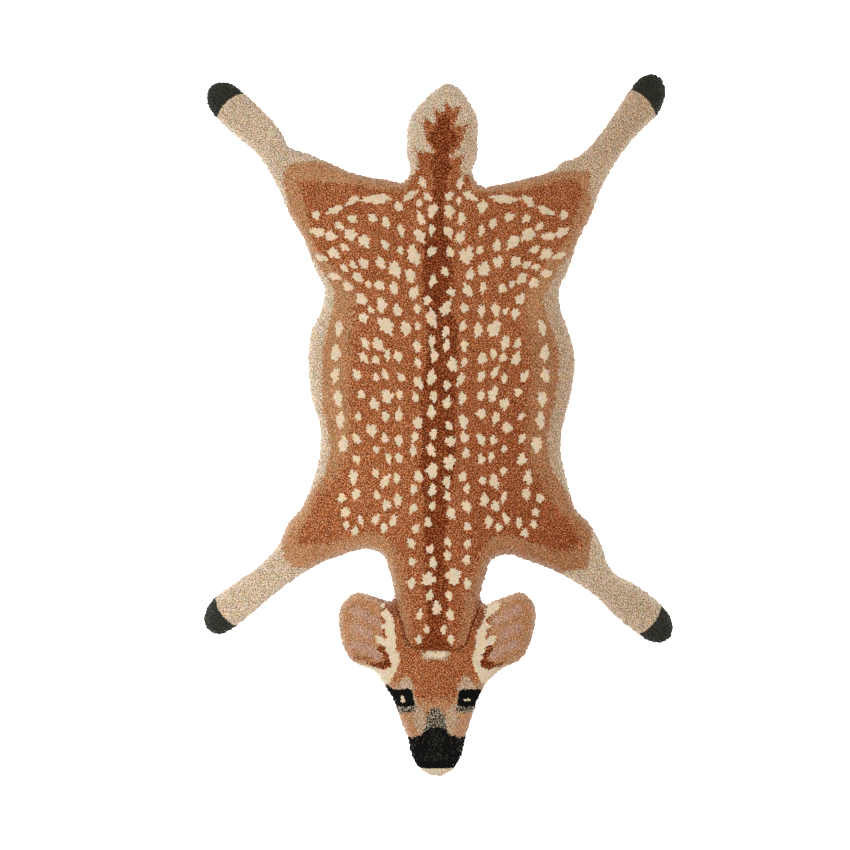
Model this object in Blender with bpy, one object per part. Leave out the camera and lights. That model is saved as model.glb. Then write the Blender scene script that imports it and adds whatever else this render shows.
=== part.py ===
"""A child's tufted rug in the shape of a spotted fawn's pelt, lying flat on the floor.

The rug is one piece of cut pile on a flat backing, so it is one solid. It lies in the XY plane with
its underside at z = 0, the tail towards +Y, the head towards -Y and the pile towards +Z. The middle
of its box is over the origin. Its outline is laid out as a pattern cutter would: sections across
the tail, the flanks and the face, stations down the four legs, and landmarks round the rump, the
shoulders and the ears.
"""

import math

import bmesh
import bpy
import numpy as np
from mathutils import Vector
from mathutils.geometry import delaunay_2d_cdt, interpolate_bezier

MM = 0.001

# Heights above the floor, and how the pile falls away at the rim.
PILE_TOP = 14.0 * MM  # backing and pile together
RIM_HEIGHT = 5.0 * MM  # where the pile bulges furthest out
RIM_OVERHANG = 1.5 * MM  # how far the pile reaches out over the backing
SHOULDER = 12.0 * MM  # how far in from the rim the pile reaches its full height

# The groove that is carved through the pile between the neck and the head.
GROOVE_DEPTH = 5.0 * MM
GROOVE_HALF_WIDTH = 5.0 * MM

# Spacing of the points that carry the surface.
RIM_STEP = 7.0 * MM
FIELD_STEP = 25.0 * MM
GROOVE_STEP = 6.0 * MM
RING_INSETS = (1.5 * MM, 5.0 * MM, SHOULDER)
RING_KEPT = 0.9  # a ring point nearer to the rim than this share of its inset is left out

# Every table is in millimetres from the middle of the pelt, x to the right and y to the tail.
TAIL_TIP = (11, 439)
CHIN = (1, -451)

# Sections across the rug: y, left edge, right edge.
TAIL_SECTIONS = (
    (434, 1, 26),
    (419, -16, 38),
    (392, -36, 51),
    (367, -39, 51),
    (345, -39, 50),
    (329, -35, 44),
)
FLANK_SECTIONS = (
    (305, -205, 210),
    (271, -190, 197),
    (240, -172, 181),
    (202, -158, 168),
    (174, -145, 156),
    (146, -150, 159),
    (118, -163, 169),
    (84, -166, 176),
    (36, -162, 170),
    (-3, -151, 160),
    (-34, -151, 158),
    (-76, -162, 167),
    (-108, -176, 177),
    (-127, -192, 195),
    (-152, -203, 209),
)
FACE_SECTIONS = (
    (-346, -60, 54),
    (-377, -48, 43),
    (-406, -37, 34),
    (-424, -33, 30),
    (-441, -23, 20),
)

# Landmarks on both sides, in order down the rug: left x, left y, right x, right y.
RUMP_EDGE = (
    (-43, 313, 56, 307),
    (-64, 315, 76, 309),
    (-109, 324, 116, 318),
    (-146, 340, 147, 327),
    (-173, 351, 161, 338),
    (-191, 357, 180, 345),
)
SHOULDER_EDGE = (
    (-169, -187, 160, -192),
    (-133, -170, 139, -182),
    (-109, -162, 113, -173),
    (-88, -159, 88, -166),
    (-70, -167, 69, -173),
    (-62, -186, 61, -194),
    (-57, -207, 56, -210),
    (-56, -222, 55, -224),
)
EAR_EDGE = (
    (-60, -226, 58, -229),
    (-79, -222, 80, -224),
    (-108, -217, 111, -217),
    (-123, -232, 123, -230),
    (-125, -268, 122, -268),
    (-112, -301, 109, -298),
    (-77, -320, 79, -316),
    (-66, -338, 61, -333),
)

# Stations down the middle of each leg, from the pelt to the hoof's root: x, y, width there.
LEGS = {
    "hind left": ((-216, 362, 41), (-244, 390, 46), (-268, 412, 46)),
    "hind right": ((222, 361, 36), (245, 391, 39), (266, 417, 46)),
    "fore left": ((-215, -195, 40), (-250, -222, 43), (-274, -241, 44)),
    "fore right": ((211, -201, 38), (244, -227, 47), (274, -251, 46)),
}
HOOF_TIPS = {
    "hind left": (-292, 436),
    "hind right": (285, 448),
    "fore left": (-296, -262),
    "fore right": (298, -273),
}
HOOF_ANGLES = (28, 60, 90, 120, 152)  # degrees round the hoof, from one corner to the other

# Middle of the groove, from one ear's root round the crown to the other's: x, y.
GROOVE_LINE = (
    (-53, -234),
    (-46, -255),
    (-40, -276),
    (-27, -289),
    (-10, -292),
    (10, -292),
    (28, -289),
    (42, -275),
    (49, -256),
    (54, -236),
)

CDT_INSIDE = 1  # keeps the triangles inside the outline
CDT_MERGE = 1e-7

WOOL_COLOUR = (0.43, 0.14, 0.05, 1.0)
WOOL_ROUGHNESS = 0.95


def clear_scene():
    for obj in list(bpy.data.objects):
        bpy.data.objects.remove(obj, do_unlink=True)


def leg_outline(leg, left_first):
    """Key points round one leg, left and right being those of somebody walking to the hoof."""
    stations = LEGS[leg]
    spots = [Vector(station[:2]) for station in stations]
    left, right = [], []
    for i, (spot, station) in enumerate(zip(spots, stations)):
        along = (spots[min(i + 1, len(spots) - 1)] - spots[max(i - 1, 0)]).normalized()
        across = Vector((-along.y, along.x)) * station[2] / 2
        left.append(spot + across)
        right.append(spot - across)
    to_tip = Vector(HOOF_TIPS[leg]) - spots[-1]
    hoof = []
    for angle in map(math.radians, HOOF_ANGLES):
        hoof.append(spots[-1] + to_tip * math.sin(angle) + across * math.cos(angle))
    key_points = left + hoof + right[::-1]
    return key_points if left_first else key_points[::-1]


def half_outline(side):
    """Key points of one side of the pelt, from the tail's tip down to the chin."""
    on_left = side == "left"
    edge = 1 if on_left else 2
    place = slice(0, 2) if on_left else slice(2, 4)

    def sections(rows):
        return [Vector((row[edge], row[0])) for row in rows]

    def landmarks(rows):
        return [Vector(row[place]) for row in rows]

    return (
        sections(TAIL_SECTIONS)
        + landmarks(RUMP_EDGE)
        + leg_outline("hind " + side, left_first=not on_left)
        + sections(FLANK_SECTIONS)
        + leg_outline("fore " + side, left_first=not on_left)
        + landmarks(SHOULDER_EDGE)
        + landmarks(EAR_EDGE)
        + sections(FACE_SECTIONS)
    )


def heading(before, at, after):
    """Direction of a smooth curve at a key point, where the nearer neighbour counts for more."""
    back, ahead = at - before, after - at
    return (back * ahead.length_squared + ahead * back.length_squared).normalized()


def smooth_curve(points, step, closed):
    """Points at most a step apart on a smooth curve through the key points, in metres."""
    points = [Vector((x, y)) * MM for x, y in points]
    if closed:
        points = points[-1:] + points + points[:2]
    else:
        points = [points[0] * 2 - points[1]] + points + [points[-1] * 2 - points[-2]]
    made = []
    for before, start, end, after in zip(points, points[1:], points[2:], points[3:]):
        span = (end - start).length
        leave = start + heading(before, start, end) * span / 3
        reach = end - heading(start, end, after) * span / 3
        pieces = math.ceil(span / step)
        made += interpolate_bezier(start, leave, reach, end, pieces + 1)[:-1]
    return [Vector(p[:2]) for p in made] + ([] if closed else [points[-2]])


def box_middle(points):
    """Middle of the smallest upright box round the points."""
    low = Vector((min(p.x for p in points), min(p.y for p in points)))
    high = Vector((max(p.x for p in points), max(p.y for p in points)))
    return (low + high) / 2


def outward_normals(loop):
    """Unit normals at the points of a closed loop that runs anticlockwise."""
    normals = []
    for before, after in zip(loop[-1:] + loop[:-1], loop[1:] + loop[:1]):
        along = after - before
        normals.append(Vector((along.y, -along.x)).normalized())
    return normals


def distance_to_line(spots, line, closed):
    """Distance of each spot to a line of straight pieces."""
    starts = np.array(line)
    ends = np.roll(starts, -1, axis=0)
    if not closed:
        starts, ends = starts[:-1], ends[:-1]
    along = ends - starts
    nearest = np.full(len(spots), np.inf)
    for start, piece in zip(starts, along):
        share = np.clip((spots - start) @ piece / (piece @ piece), 0.0, 1.0)
        gap = np.linalg.norm(spots - start - share[:, None] * piece, axis=1)
        nearest = np.minimum(nearest, gap)
    return nearest


def inside_loop(spots, loop):
    """True for each spot that lies inside the closed loop."""
    inside = np.zeros(len(spots), bool)
    x, y = spots[:, 0], spots[:, 1]
    for a, b in zip(loop, loop[1:] + loop[:1]):
        if a.y == b.y:
            continue
        crosses = ((a.y > y) != (b.y > y)) & (x < a.x + (y - a.y) / (b.y - a.y) * (b.x - a.x))
        inside ^= crosses
    return inside


def surface_spots(rim, groove):
    """Places that carry the pile's surface: rings along the rim, the groove and an even field."""
    normals = outward_normals(rim)
    kept = []
    for inset in RING_INSETS:
        ring = np.array([p - n * inset for p, n in zip(rim, normals)])
        deep = distance_to_line(ring, rim, closed=True) > RING_KEPT * inset
        kept.append(ring[deep & inside_loop(ring, rim)])

    field = []
    reach = max(abs(value) for p in rim for value in p)
    rows = math.ceil(reach / FIELD_STEP)
    for j in range(-rows, rows + 1):
        shift = 0.5 * (j % 2)
        field += [((i + shift) * FIELD_STEP, j * FIELD_STEP) for i in range(-rows, rows + 1)]
    field = np.array(field)
    clear_of_rim = distance_to_line(field, rim, closed=True) > SHOULDER + FIELD_STEP / 4
    clear_of_groove = distance_to_line(field, groove, closed=False) > 2 * GROOVE_HALF_WIDTH
    kept.append(field[clear_of_rim & clear_of_groove & inside_loop(field, rim)])

    for before, at, after in zip(groove, groove[1:], groove[2:]):
        along = (after - before).normalized()
        across = Vector((-along.y, along.x)) * GROOVE_HALF_WIDTH
        trench = np.array([at - across, at, at + across])
        kept.append(trench[distance_to_line(trench, rim, closed=True) > RING_INSETS[0]])
    return np.concatenate(kept)


def pile_height(spots, rim, groove):
    """Height of the pile's surface: full inside, rounded down to the rim, cut by the groove."""
    depth = np.clip(distance_to_line(spots, rim, closed=True) / SHOULDER, 0.0, 1.0)
    rounded = RIM_HEIGHT + (PILE_TOP - RIM_HEIGHT) * np.sqrt(1 - (1 - depth) ** 2)
    gap = distance_to_line(spots, groove, closed=False) / GROOVE_HALF_WIDTH
    return np.maximum(rounded - GROOVE_DEPTH * np.clip(1 - gap, 0.0, 1.0), RIM_HEIGHT)


def fill_loop(mesh, corners, loop_length, upward):
    """Triangles over the corners, inside the loop that the first of them make."""
    flat = [corner.co.to_2d() for corner in corners]
    found = delaunay_2d_cdt(flat, [], [list(range(loop_length))], CDT_INSIDE, CDT_MERGE)
    triangles, sources = found[2], found[3]
    for triangle in triangles:
        face = [corners[sources[i][0]] for i in triangle]
        mesh.faces.new(face if upward else face[::-1])


def wool_material():
    material = bpy.data.materials.new("rust_wool")
    material.use_nodes = True
    shader = material.node_tree.nodes["Principled BSDF"]
    shader.inputs["Base Color"].default_value = WOOL_COLOUR
    shader.inputs["Roughness"].default_value = WOOL_ROUGHNESS
    shader.inputs["Metallic"].default_value = 0.0
    return material


def make_rug():
    left, right = half_outline("left"), half_outline("right")
    key_points = [Vector(TAIL_TIP)] + left + [Vector(CHIN)] + right[::-1]
    rim = smooth_curve(key_points, RIM_STEP, closed=True)
    groove = smooth_curve(GROOVE_LINE, GROOVE_STEP, closed=False)
    middle = box_middle(rim)
    rim = [p - middle for p in rim]
    groove = [p - middle for p in groove]

    spots = surface_spots(rim, groove)
    heights = pile_height(spots, rim, groove)

    mesh = bmesh.new()
    normals = outward_normals(rim)
    underside = [mesh.verts.new((*(p - n * RIM_OVERHANG), 0.0)) for p, n in zip(rim, normals)]
    edge = [mesh.verts.new((*p, RIM_HEIGHT)) for p in rim]
    inner = [mesh.verts.new((x, y, z)) for (x, y), z in zip(spots, heights)]
    count = len(rim)
    fill_loop(mesh, underside, count, upward=False)
    fill_loop(mesh, edge + inner, count, upward=True)
    for i in range(count):
        j = (i + 1) % count
        mesh.faces.new((underside[i], underside[j], edge[j], edge[i]))

    data = bpy.data.meshes.new("fawn_rug")
    mesh.to_mesh(data)
    mesh.free()
    data.materials.append(wool_material())
    data.shade_smooth()
    data.set_sharp_from_angle(angle=math.radians(40))
    rug = bpy.data.objects.new("fawn_rug", data)
    bpy.context.scene.collection.objects.link(rug)
    return rug


clear_scene()
make_rug()
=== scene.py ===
# %% [markdown]
# # A spotted fawn rug in cut wool pile
#
# The real rug is tufted by hand. A maker shoots loops of wool through a stretched cloth, one colour
# field after another, shears them level, bevels the edge and carves a groove round the crown of the
# head. The lesson builds it the same way: a cotton cloth with a bed of wool on it, and on the bed
# the tips of more than a hundred thousand tufts, each in the one shade of its yarn.

import math
from functools import partial

import bmesh
import bpy
import numpy as np
from mathutils.geometry import delaunay_2d_cdt
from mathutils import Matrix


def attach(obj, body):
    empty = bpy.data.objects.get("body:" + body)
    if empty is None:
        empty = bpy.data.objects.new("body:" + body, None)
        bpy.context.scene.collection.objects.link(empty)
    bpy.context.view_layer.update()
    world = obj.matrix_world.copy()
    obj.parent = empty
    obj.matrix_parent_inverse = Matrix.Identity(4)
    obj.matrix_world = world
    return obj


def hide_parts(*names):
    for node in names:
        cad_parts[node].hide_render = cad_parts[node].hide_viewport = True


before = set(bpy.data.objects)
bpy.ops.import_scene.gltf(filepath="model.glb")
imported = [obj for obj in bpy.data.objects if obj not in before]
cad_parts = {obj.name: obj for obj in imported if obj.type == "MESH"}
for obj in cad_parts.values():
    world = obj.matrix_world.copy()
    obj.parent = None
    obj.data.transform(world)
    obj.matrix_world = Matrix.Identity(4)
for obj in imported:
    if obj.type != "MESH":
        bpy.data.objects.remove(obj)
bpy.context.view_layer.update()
MM = 0.001

# %% [markdown]
# ## Floor, light and camera
#
# The photograph looks straight down on a white light table, which is why the rug hardly casts a
# shadow. A long lens from three metres up keeps the outline as true as it is there. The light could
# come from the sky alone, but the rug is lighter and cooler on the left and darker and warmer on the
# right, so a cool lamp near it on the left helps a warm sky. Its edge is as pale on the right as on
# the left, and that takes a low reflector on the right, which hardly touches the level pile.

# %% Camera
PICTURE_WIDTH = 1.096  # metres of floor across the photograph
PICTURE_MIDDLE = (-0.0174, 0.0002)
LENS, SENSOR = 110.0, 36.0

scene = bpy.context.scene


def add_object(name, data):
    """A new object in the scene."""
    made = bpy.data.objects.new(name, data)
    scene.collection.objects.link(made)
    return made


camera = add_object("camera", bpy.data.cameras.new("camera"))
camera.data.lens = LENS
camera.data.sensor_width = SENSOR
camera.data.clip_end = 50.0
camera.location = (*PICTURE_MIDDLE, PICTURE_WIDTH * LENS / SENSOR)
scene.camera = camera
scene.view_settings.view_transform = "Standard"
print("the camera is", round(camera.location.z, 2), "m above the floor")


# %% Lamps and sky
def add_lamp(name, place, side, power, colour):
    """A square lamp that faces the middle of the rug."""
    lamp = bpy.data.lights.new(name, "AREA")
    lamp.size = side
    lamp.energy = power
    lamp.color = colour
    holder = add_object(name, lamp)
    holder.location = place
    holder.rotation_euler = (-holder.location).to_track_quat("-Z", "Y").to_euler()


def feed(tree, node, inputs):
    """Gives a node's inputs their values, or links them where a socket is given."""
    for name, value in inputs.items():
        if isinstance(value, bpy.types.NodeSocket):
            tree.links.new(value, node.inputs[name])
        else:
            node.inputs[name].default_value = value


add_lamp("window", place=(-0.8, -0.1, 1.0), side=0.5, power=11.0, colour=(0.85, 1.0, 1.08))
add_lamp("reflector", place=(1.5, 0.3, 0.3), side=0.5, power=8.6, colour=(0.79, 1.0, 1.08))

sky = bpy.data.worlds.new("sky")
sky.use_nodes = True
background = sky.node_tree.nodes["Background"]
feed(sky.node_tree, background, {"Color": (1.0, 0.87, 0.795, 1.0), "Strength": 0.59})
scene.world = sky

# %% Floor
FLOOR_SIDE = 14.0
FLOOR_DROP = 0.1 * MM  # keeps the floor clear of the cloth that lies on it
FLOOR_GLOW = 1.6  # also lights the edge of the pile from below


def plain_floor():
    """A matt white light table, which isn't part of the rug."""
    half = FLOOR_SIDE / 2
    corners = [(-half, -half), (half, -half), (half, half), (-half, half)]
    mesh = bpy.data.meshes.new("floor")
    mesh.from_pydata([(x, y, -FLOOR_DROP) for x, y in corners], [], [(0, 1, 2, 3)])
    paint = bpy.data.materials.new("floor_paint")
    paint.use_nodes = True
    feed(paint.node_tree, paint.node_tree.nodes["Principled BSDF"], {
        "Base Color": (0.85, 0.85, 0.85, 1.0), "Roughness": 0.9,
        "Emission Color": (1.0, 1.0, 1.0, 1.0), "Emission Strength": FLOOR_GLOW,
    })
    mesh.materials.append(paint)
    floor = add_object("floor", mesh)


plain_floor()

# %% [markdown]
# ## The outline, taken from the frame
#
# The frame's solid already has the rug's outline, so nothing is drawn twice. On a merged copy of its
# mesh, the edge where the wall under the rim meets the pile is the line where the pile reaches
# furthest out. Everything below measures from that line.

# %% Read the rim
FLOOR_TOUCH = 0.2 * MM


def rim_of(node):
    """Points of the rim, anticlockwise, from a merged copy of the frame's mesh."""
    copy = bmesh.new()
    copy.from_mesh(node.data)
    bmesh.ops.remove_doubles(copy, verts=copy.verts, dist=MM / 1000)
    low = {v for v in copy.verts if v.co.z < FLOOR_TOUCH}

    def is_wall(face):
        return 0 < sum(v in low for v in face.verts) < len(face.verts)

    ways = {}
    for edge in copy.edges:
        if not low.intersection(edge.verts) and sum(map(is_wall, edge.link_faces)) == 1:
            a, b = edge.verts
            ways.setdefault(a, []).append(b)
            ways.setdefault(b, []).append(a)
    walk = [next(iter(ways))]
    step = ways[walk[0]][0]
    while step is not walk[0]:
        walk.append(step)
        step = next(v for v in ways[step] if v is not walk[-2])
    rim = np.array([v.co[:2] for v in walk])
    copy.free()
    x, y = rim.T
    turns_left = (x * np.roll(y, -1) - np.roll(x, -1) * y).sum() > 0
    return rim if turns_left else rim[::-1]


rim = rim_of(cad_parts["fawn_rug"])
print(len(rim), "points round the rim")


# %% Measure from lines and loops
TINY = 1e-9  # keeps a division clear of nought


def nearest_on(places, line, closed):
    """How far each place is from a line of straight pieces, and the nearest place on it."""
    starts = np.asarray(line, float)
    ends = np.roll(starts, -1, axis=0)
    if not closed:
        starts, ends = starts[:-1], ends[:-1]
    gap = np.full(len(places), np.inf)
    foot = np.zeros((len(places), 2))
    for start, end in zip(starts, ends):
        along = end - start
        share = np.clip((places - start) @ along / (along @ along), 0.0, 1.0)
        here = start + share[:, None] * along
        distance = np.linalg.norm(places - here, axis=1)
        nearer = distance < gap
        gap[nearer] = distance[nearer]
        foot[nearer] = here[nearer]
    return gap, foot


def nearness(distance, reach):
    """1 at no distance, evenly less as it grows, and 0 from the reach on."""
    return np.clip(1 - distance / reach, 0.0, 1.0)


def inside(places, loop):
    """True for each place that lies inside the closed loop."""
    loop = np.asarray(loop, float)
    x, y = places.T
    found = np.zeros(len(places), bool)
    for (ax, ay), (bx, by) in zip(loop, np.roll(loop, -1, axis=0)):
        if ay != by:
            crossing = ax + (y - ay) / (by - ay) * (bx - ax)
            found ^= ((ay > y) != (by > y)) & (x < crossing)
    return found


# %% [markdown]
# ## The shape of the pile
#
# The shears leave the field level at 14 mm and round the edge off. Seen in section, the edge climbs
# from a hem just over the floor to the rim, and from there on a quarter of an ellipse to the level
# field. The tufts at the edge lean out, as they do on a real rug, where nothing holds them up on one
# side. They stand between upright and square to that curve. Seen from above they show some of their
# sides, which catch more light than cut ends do. That light is painted into the shades of the tufts
# near the edge, so the edge is painted paler than the field.

# %% Section of the edge
PILE_TOP = 14.0 * MM
RIM_HEIGHT = 5.0 * MM
SHOULDER = 12.0 * MM  # how far in from the rim the pile is level
HEM_DROP, HEM_INSET = 4.0 * MM, 2.0 * MM  # how far down and in the edge would curl below the rim
HEM_TURN = 70  # degrees of that quarter turn which carry tufts


def edge_section(steps=40):
    """Columns down the edge: arc length from the hem, inset from the rim, height, axis out, axis up."""
    below = np.radians(np.linspace(-HEM_TURN, 0, steps)[:-1])
    above = np.radians(np.linspace(0, 90, steps))
    parts = []
    for angle, reach, rise in ((below, HEM_INSET, HEM_DROP), (above, SHOULDER, PILE_TOP - RIM_HEIGHT)):
        out, up = np.cos(angle) / reach, np.sin(angle) / rise
        size = np.hypot(out, up)
        inset = reach * (1 - np.cos(angle))
        parts.append(np.stack([inset, RIM_HEIGHT + rise * np.sin(angle), out / size, up / size], 1))
    rows = np.concatenate(parts)
    steps_along = np.linalg.norm(np.diff(rows[:, :2], axis=0), axis=1)
    return np.column_stack([np.concatenate([[0.0], np.cumsum(steps_along)]), rows])


SECTION = edge_section()
EDGE_LENGTH = SECTION[-1, 0]
print("the edge is", round(EDGE_LENGTH / MM, 1), "mm of pile, over", SHOULDER / MM, "mm of floor")

# %% [markdown]
# The groove between the neck and the head is cut afterwards, with the tips of the shears, along a
# line that goes from one ear's root round the crown to the other's.

# %% The carved groove
GROOVE_LINE = np.array([
    (-54, -234), (-47, -255), (-42, -276), (-37, -284), (-26, -288), (-11, -290),
    (9, -290), (27, -289), (35, -283), (39, -272), (44, -256), (53, -234),
]) * MM
GROOVE_DEPTH = 3.5 * MM
GROOVE_HALF_WIDTH = 3.2 * MM


def groove_depth(places):
    """How much the shears took away at each place."""
    gap, _ = nearest_on(places, GROOVE_LINE, closed=False)
    return GROOVE_DEPTH * nearness(gap, GROOVE_HALF_WIDTH)


# %% [markdown]
# ## Where the tufts go
#
# A finely tufted rug shows a tip about every millimetre and a half, as evenly as a hand can set
# them. Here they start on a staggered grid, each nudged a little. The edge has more surface than the
# floor below it, so the grid runs on past the rim by the difference, and its outer rows are then
# folded down along the section. That keeps the edge as dense as the field.

# %% Set out the tufts
TUFT_STEP = 1.45 * MM
NUDGE = 0.24  # of a step
SURFACE_WAVE, SURFACE_WAVE_LENGTH = 0.3 * MM, 35 * MM  # how level a hand shears
EDGE_WAVE, EDGE_WAVE_LENGTH = 0.65 * MM, 8 * MM  # how true it follows the outline
EDGE_SPREAD = 0.5 * MM  # the outermost tufts lean out past it
EDGE_FRAY = 0.5 * MM  # and by how much they differ in that
EDGE_LEAN = 0.6  # 0 upright, 1 square to the section
WAVE_PITCHES = (0.7, 1.5)  # the shortest and the longest wave, as a share of the usual one
NEIGHBOURS = 6
ALTERNATION = 1.0  # how much the yarns of neighbours differ: 0 not more than by chance
rng = np.random.default_rng(1207)


def staggered_grid(step, low, high):
    """Places on a staggered grid over a box, each nudged at random."""
    row_gap = step * math.sqrt(3) / 2
    columns = np.arange(low[0], high[0], step)
    rows = np.arange(low[1], high[1], row_gap)
    x, y = np.meshgrid(columns, rows)
    x = x + 0.5 * step * (np.arange(len(rows)) % 2)[:, None]
    places = np.column_stack([x.ravel(), y.ravel()])
    return places + rng.uniform(-NUDGE, NUDGE, places.shape) * step, x.shape


def draw_yarns(shape):
    """A number from 0 to 1 for each place of a staggered grid, in which neighbours tend to differ."""
    noise = rng.normal(size=shape)
    odd = (np.arange(shape[0]) % 2 == 1)[:, None]
    around = np.roll(noise, 1, 1) + np.roll(noise, -1, 1)
    for row in (np.roll(noise, 1, 0), np.roll(noise, -1, 0)):
        around += row + np.where(odd, np.roll(row, -1, 1), np.roll(row, 1, 1))
    rank = (noise - ALTERNATION * around / NEIGHBOURS).ravel().argsort().argsort()
    return rank / rank.size


def soft_waves(places, length, count=6, seed=3):
    """A smooth random surface between about -1 and 1, with humps of about that length."""
    draw = np.random.default_rng(seed)
    total = np.zeros(len(places))
    for _ in range(count):
        heading = draw.uniform(0, 2 * math.pi)
        pitch = length * draw.uniform(*WAVE_PITCHES)
        phase = draw.uniform(0, 2 * math.pi)
        along = places @ np.array([math.cos(heading), math.sin(heading)])
        total += np.sin(2 * math.pi * along / pitch + phase)
    return total / math.sqrt(2 * count)


def fold_over_edge(grid):
    """Which grid places are tufts, and their feet on the floor plan, tips and axes."""
    spare = EDGE_LENGTH - SHOULDER
    gap, foot = nearest_on(grid, rim, closed=True)
    depth = np.where(inside(grid, rim), gap, -gap)
    kept = depth > -spare
    near, foot, depth = grid[kept], foot[kept], depth[kept]
    outward = (foot - near) / np.maximum(np.abs(depth), TINY)[:, None] * np.sign(depth)[:, None]
    on_edge = depth < SHOULDER
    arc = np.clip(depth + spare, 0.0, EDGE_LENGTH)
    inset, height, out, up = (np.interp(arc, SECTION[:, 0], SECTION[:, i]) for i in range(1, 5))
    stray = EDGE_WAVE * soft_waves(foot, EDGE_WAVE_LENGTH, count=8, seed=5) - EDGE_SPREAD
    stray += EDGE_FRAY * np.random.default_rng(6).normal(size=len(foot))
    inset = inset + stray * nearness(inset, SHOULDER)
    plan = np.where(on_edge[:, None], foot - outward * inset[:, None], near)
    height = np.where(on_edge, height, PILE_TOP)
    height = np.maximum(height - groove_depth(plan), np.minimum(height, RIM_HEIGHT))
    above_rim = (height - RIM_HEIGHT) / (PILE_TOP - RIM_HEIGHT)
    height += SURFACE_WAVE * soft_waves(plan, SURFACE_WAVE_LENGTH) * above_rim
    out = np.where(on_edge, out, 0.0) * EDGE_LEAN
    up = np.where(on_edge, up, 1.0) * EDGE_LEAN + (1 - EDGE_LEAN)
    axes = np.column_stack([outward * out[:, None], up])
    return kept, plan, np.column_stack([plan, height]), axes, inset


grid, grid_shape = staggered_grid(TUFT_STEP, rim.min(0) - EDGE_LENGTH, rim.max(0) + EDGE_LENGTH)
kept, plan, tips, axes, inset = fold_over_edge(grid)
yarn_draw = draw_yarns(grid_shape)[kept]
print(len(plan), "tufts")

# %% [markdown]
# ## The yarns
#
# Each colour field is tufted from a mix of yarns, which is why it sparkles from near by: most tufts
# have the field's own shade, some a darker one and some a lighter one. The beige of the legs mixes
# the most, and the cream of the spots is nearly plain. The table names the shades as a dyer would see
# them, in the eight-bit values of a colour card. No two skeins leave the dye bath quite alike, so the
# shades also drift from place to place. The rust has patches of painted light on the left and of
# painted shade on the right, and the tufts near the edge have painted light.

# %% Colour card
# name: main shade, dark fleck, its share, light fleck, its share, unevenness
YARNS = {
    "beige": ((199, 172, 142), (157, 126, 95), 0.32, (231, 211, 187), 0.32, 7),
    "oat": ((208, 184, 154), (168, 139, 108), 0.30, (236, 219, 196), 0.30, 6),
    "buff": ((197, 166, 134), (155, 121, 89), 0.32, (229, 204, 177), 0.32, 7),
    "fawn": ((178, 125, 84), (144, 91, 52), 0.28, (211, 163, 122), 0.28, 8),
    "rust": ((161, 89, 47), (102, 42, 11), 0.28, (213, 144, 99), 0.26, 9),
    "russet": ((152, 79, 39), (99, 37, 8), 0.29, (206, 134, 89), 0.25, 9),
    "tawny": ((167, 112, 75), (134, 80, 44), 0.28, (200, 150, 110), 0.28, 8),
    "umber": ((119, 49, 17), (68, 19, 3), 0.32, (186, 107, 60), 0.26, 8),
    "cream": ((225, 203, 172), (208, 182, 151), 0.20, (235, 217, 188), 0.18, 3),
    "horn": ((50, 50, 42), (30, 31, 26), 0.25, (68, 68, 58), 0.15, 3),
    "black": ((17, 16, 14), (8, 8, 7), 0.30, (68, 64, 57), 0.12, 2),
    "jet": ((13, 12, 11), (8, 8, 7), 0.25, (24, 23, 20), 0.15, 1),
    "rose": ((186, 142, 118), (158, 108, 84), 0.26, (212, 176, 154), 0.26, 6),
    "pepper": ((96, 84, 68), (26, 23, 18), 0.42, (196, 182, 158), 0.28, 6),
    "apricot": ((184, 130, 92), (150, 94, 56), 0.26, (216, 172, 134), 0.26, 7),
    "sand": ((188, 155, 124), (150, 114, 82), 0.28, (218, 196, 170), 0.28, 6),
    "sienna": ((150, 84, 50), (96, 42, 18), 0.32, (202, 146, 108), 0.16, 7),
}
# Painted light at the edge: tufts near the rim are mixed towards this pale shade, by up to the share below
# and within the reach below; dark yarns take less of it
PAINTED_EDGE_LIGHT = (232, 222, 209)
PAINTED_EDGE_LIGHT_SHARE, PAINTED_EDGE_LIGHT_REACH = 0.25, 8.0 * MM
PALE_YARN = 0.1  # yarns that give back less light than this show less of it
FIELD_DRIFT, FIELD_DRIFT_LENGTH = 3.0, 60 * MM  # how far a field's lightness strays, in the card's values
DYE_DRIFT, DYE_DRIFT_LENGTH = (0.032, 0.01, 0.045), 14 * MM  # how far red, green and blue do, as a share
# Patches of painted light and painted shade on the rust, lighter on the left and darker on the right: x, y
# and radius in mm, and how much lighter it is
PAINTED_LIGHT_PATCHES = (
    (-75, -65, 45, 0.12), (72, 15, 45, -0.14), (32, -75, 30, -0.12),
    (125, -155, 30, -0.15), (172, 265, 35, -0.10), (-43, -318, 16, 0.20),
)
PATCH_LIGHT_TINT = np.array((0.6, 1.0, 1.05))  # how much of that red, green and blue each show
YARN_NAMES = list(YARNS)
YARN = {name: number for number, name in enumerate(YARN_NAMES)}


def to_linear(shade):
    """Eight-bit colour card values as light, by the sRGB formula."""
    shade = np.clip(np.asarray(shade, float) / 255, 0.0, 1.0)
    return np.where(shade <= 0.04045, shade / 12.92, ((shade + 0.055) / 1.055) ** 2.4)


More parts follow.
